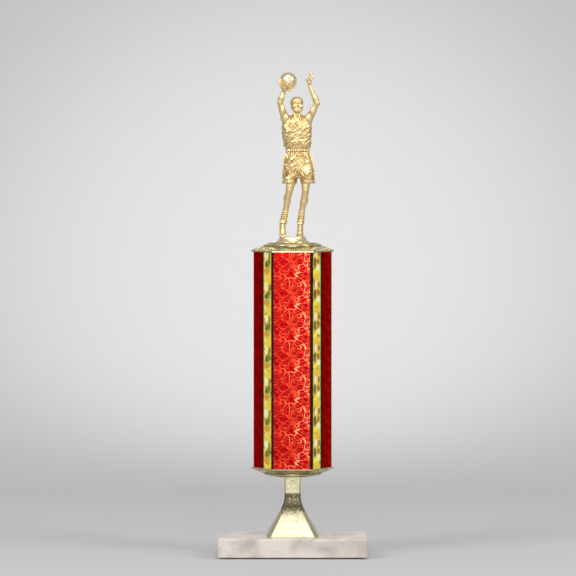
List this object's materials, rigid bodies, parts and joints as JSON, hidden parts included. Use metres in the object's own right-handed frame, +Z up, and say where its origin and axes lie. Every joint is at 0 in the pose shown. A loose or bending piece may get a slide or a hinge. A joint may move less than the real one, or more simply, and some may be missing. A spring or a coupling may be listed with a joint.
{
  "type": "sports trophy",
  "caption": "Column trophy: stone slab, square flared riser, hexagonal foil-striped column between fluted caps, and a gold basketball shooter on a round plinth.",
  "frame": {"origin": "centre of the footprint, on the surface that the pads stand on", "axes": "+Z up the column; the front of the trophy faces -Y; +X to the right of the front view"},
  "size_m": [0.127, 0.0698, 0.4142],
  "materials": {
    "felt": "pressed felt discs",
    "marble": "cut and honed pale marble with soft grey veins",
    "zinc_steel": "zinc-plated steel hardware",
    "plated_gold_riser": "moulded plastic, vacuum plated pale gold, hammered panels",
    "plated_gold_cap": "moulded plastic, vacuum plated champagne gold, fluted",
    "black_plastic": "extruded black plastic",
    "red_foil": "crinkle-patterned red metallic foil",
    "gold_foil": "holographic gold foil with a repeated lens pattern",
    "brass_insert": "plain brass jam nut",
    "plated_gold_figure": "moulded plastic, vacuum plated bright gold"
  },
  "bodies": {
    "root": {"felt_pads": "felt", "marble_base": "marble", "base_nut": "zinc_steel", "base_lock_washer": "zinc_steel", "base_washer": "zinc_steel", "tie_rod": "zinc_steel", "riser": "plated_gold_riser", "lower_cap": "plated_gold_cap", "column_tube": "black_plastic", "red_foil_front": "red_foil", "red_foil_right": "red_foil", "red_foil_back": "red_foil", "red_foil_left": "red_foil", "gold_foil_front_right": "gold_foil", "gold_foil_back_right": "gold_foil", "gold_foil_back_left": "gold_foil", "gold_foil_front_left": "gold_foil", "upper_cap": "plated_gold_cap", "figure_nut": "brass_insert", "figure": "plated_gold_figure"}
  },
  "joints": []
}
